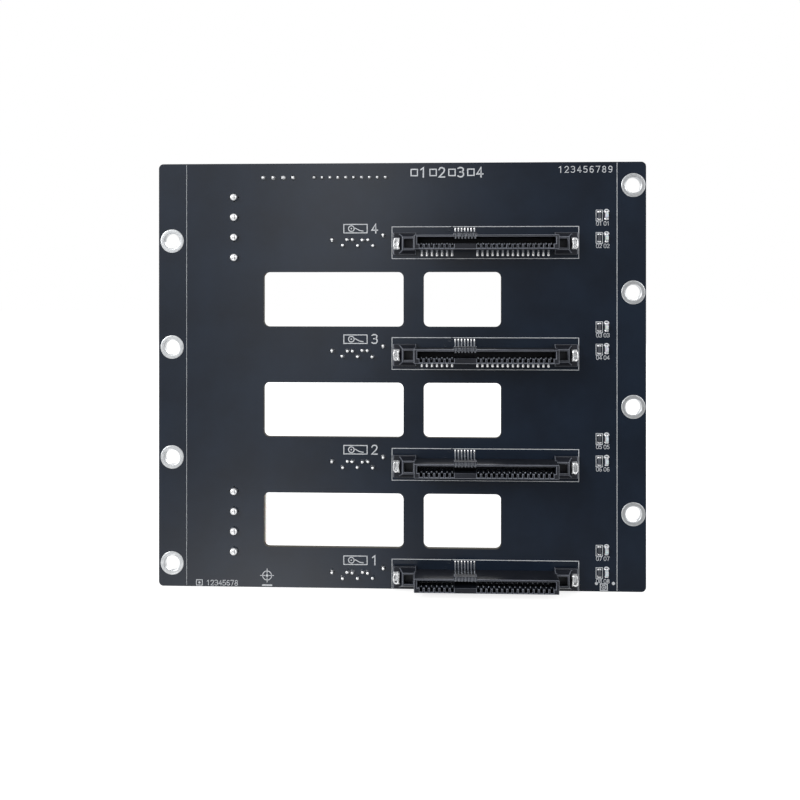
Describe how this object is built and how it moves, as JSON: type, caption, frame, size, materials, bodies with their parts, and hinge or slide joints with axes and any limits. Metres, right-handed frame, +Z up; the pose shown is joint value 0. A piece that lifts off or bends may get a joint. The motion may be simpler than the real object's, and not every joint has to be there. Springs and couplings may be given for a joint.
{
  "type": "drive backplane board",
  "caption": "Upright drive backplane board: drive sockets on the front, cable headers on the rear, cooling windows between the rows, screw holes down both sides.",
  "frame": {"origin": "on the board's front face, midway between the two outer screw holes of the left column", "axes": "+X right seen from the drive side, along the board's width; +Y from the front (drive) side to the rear (cable) side, through the thickness; +Z up"},
  "size_m": [0.123, 0.0236, 0.1074],
  "materials": {
    "board": "satin black solder mask over glass-epoxy laminate",
    "socket_plastic": "moulded black, satin",
    "contact_metal": "tin-plated spring metal, bright",
    "clip_metal": "tin-plated, bright",
    "pin_metal": "tin-plated pins",
    "data_header_plastic": "moulded black, satin",
    "power_header_plastic": "moulded natural white",
    "pin_header_plastic": "moulded black",
    "lamp_base": "white laminate",
    "lamp_lens": "clear resin",
    "resistor": "ceramic chip with tinned ends",
    "solder": "tin-silver solder, bright",
    "ring_plating": "tin levelled with hot air",
    "print_ink": "white epoxy ink, screen printed"
  },
  "bodies": {
    "root": {"board": "board", "drive_1_data_header_clips": "clip_metal", "drive_1_data_header_housing": "data_header_plastic", "drive_1_data_header_pins": "pin_metal", "drive_1_port_contacts": "contact_metal", "drive_1_power_contacts": "contact_metal", "drive_1_signal_contacts": "contact_metal", "drive_1_socket_clips": "clip_metal", "drive_1_socket_housing": "socket_plastic", "drive_2_data_header_clips": "clip_metal", "drive_2_data_header_housing": "data_header_plastic", "drive_2_data_header_pins": "pin_metal", "drive_2_port_contacts": "contact_metal", "drive_2_power_contacts": "contact_metal", "drive_2_signal_contacts": "contact_metal", "drive_2_socket_clips": "clip_metal", "drive_2_socket_housing": "socket_plastic", "drive_3_data_header_clips": "clip_metal", "drive_3_data_header_housing": "data_header_plastic", "drive_3_data_header_pins": "pin_metal", "drive_3_port_contacts": "contact_metal", "drive_3_power_contacts": "contact_metal", "drive_3_signal_contacts": "contact_metal", "drive_3_socket_clips": "clip_metal", "drive_3_socket_housing": "socket_plastic", "drive_4_data_header_clips": "clip_metal", "drive_4_data_header_housing": "data_header_plastic", "drive_4_data_header_pins": "pin_metal", "drive_4_port_contacts": "contact_metal", "drive_4_power_contacts": "contact_metal", "drive_4_signal_contacts": "contact_metal", "drive_4_socket_clips": "clip_metal", "drive_4_socket_housing": "socket_plastic", "fan_header_body": "pin_header_plastic", "fan_header_pins": "pin_metal", "lamp_bases": "lamp_base", "lamp_header_body": "pin_header_plastic", "lamp_header_pins": "pin_metal", "lamp_lenses": "lamp_lens", "lower_power_header_housing": "power_header_plastic", "lower_power_header_pins": "pin_metal", "resistors": "resistor", "upper_power_header_housing": "power_header_plastic", "upper_power_header_pins": "pin_metal"}
  },
  "joints": []
}
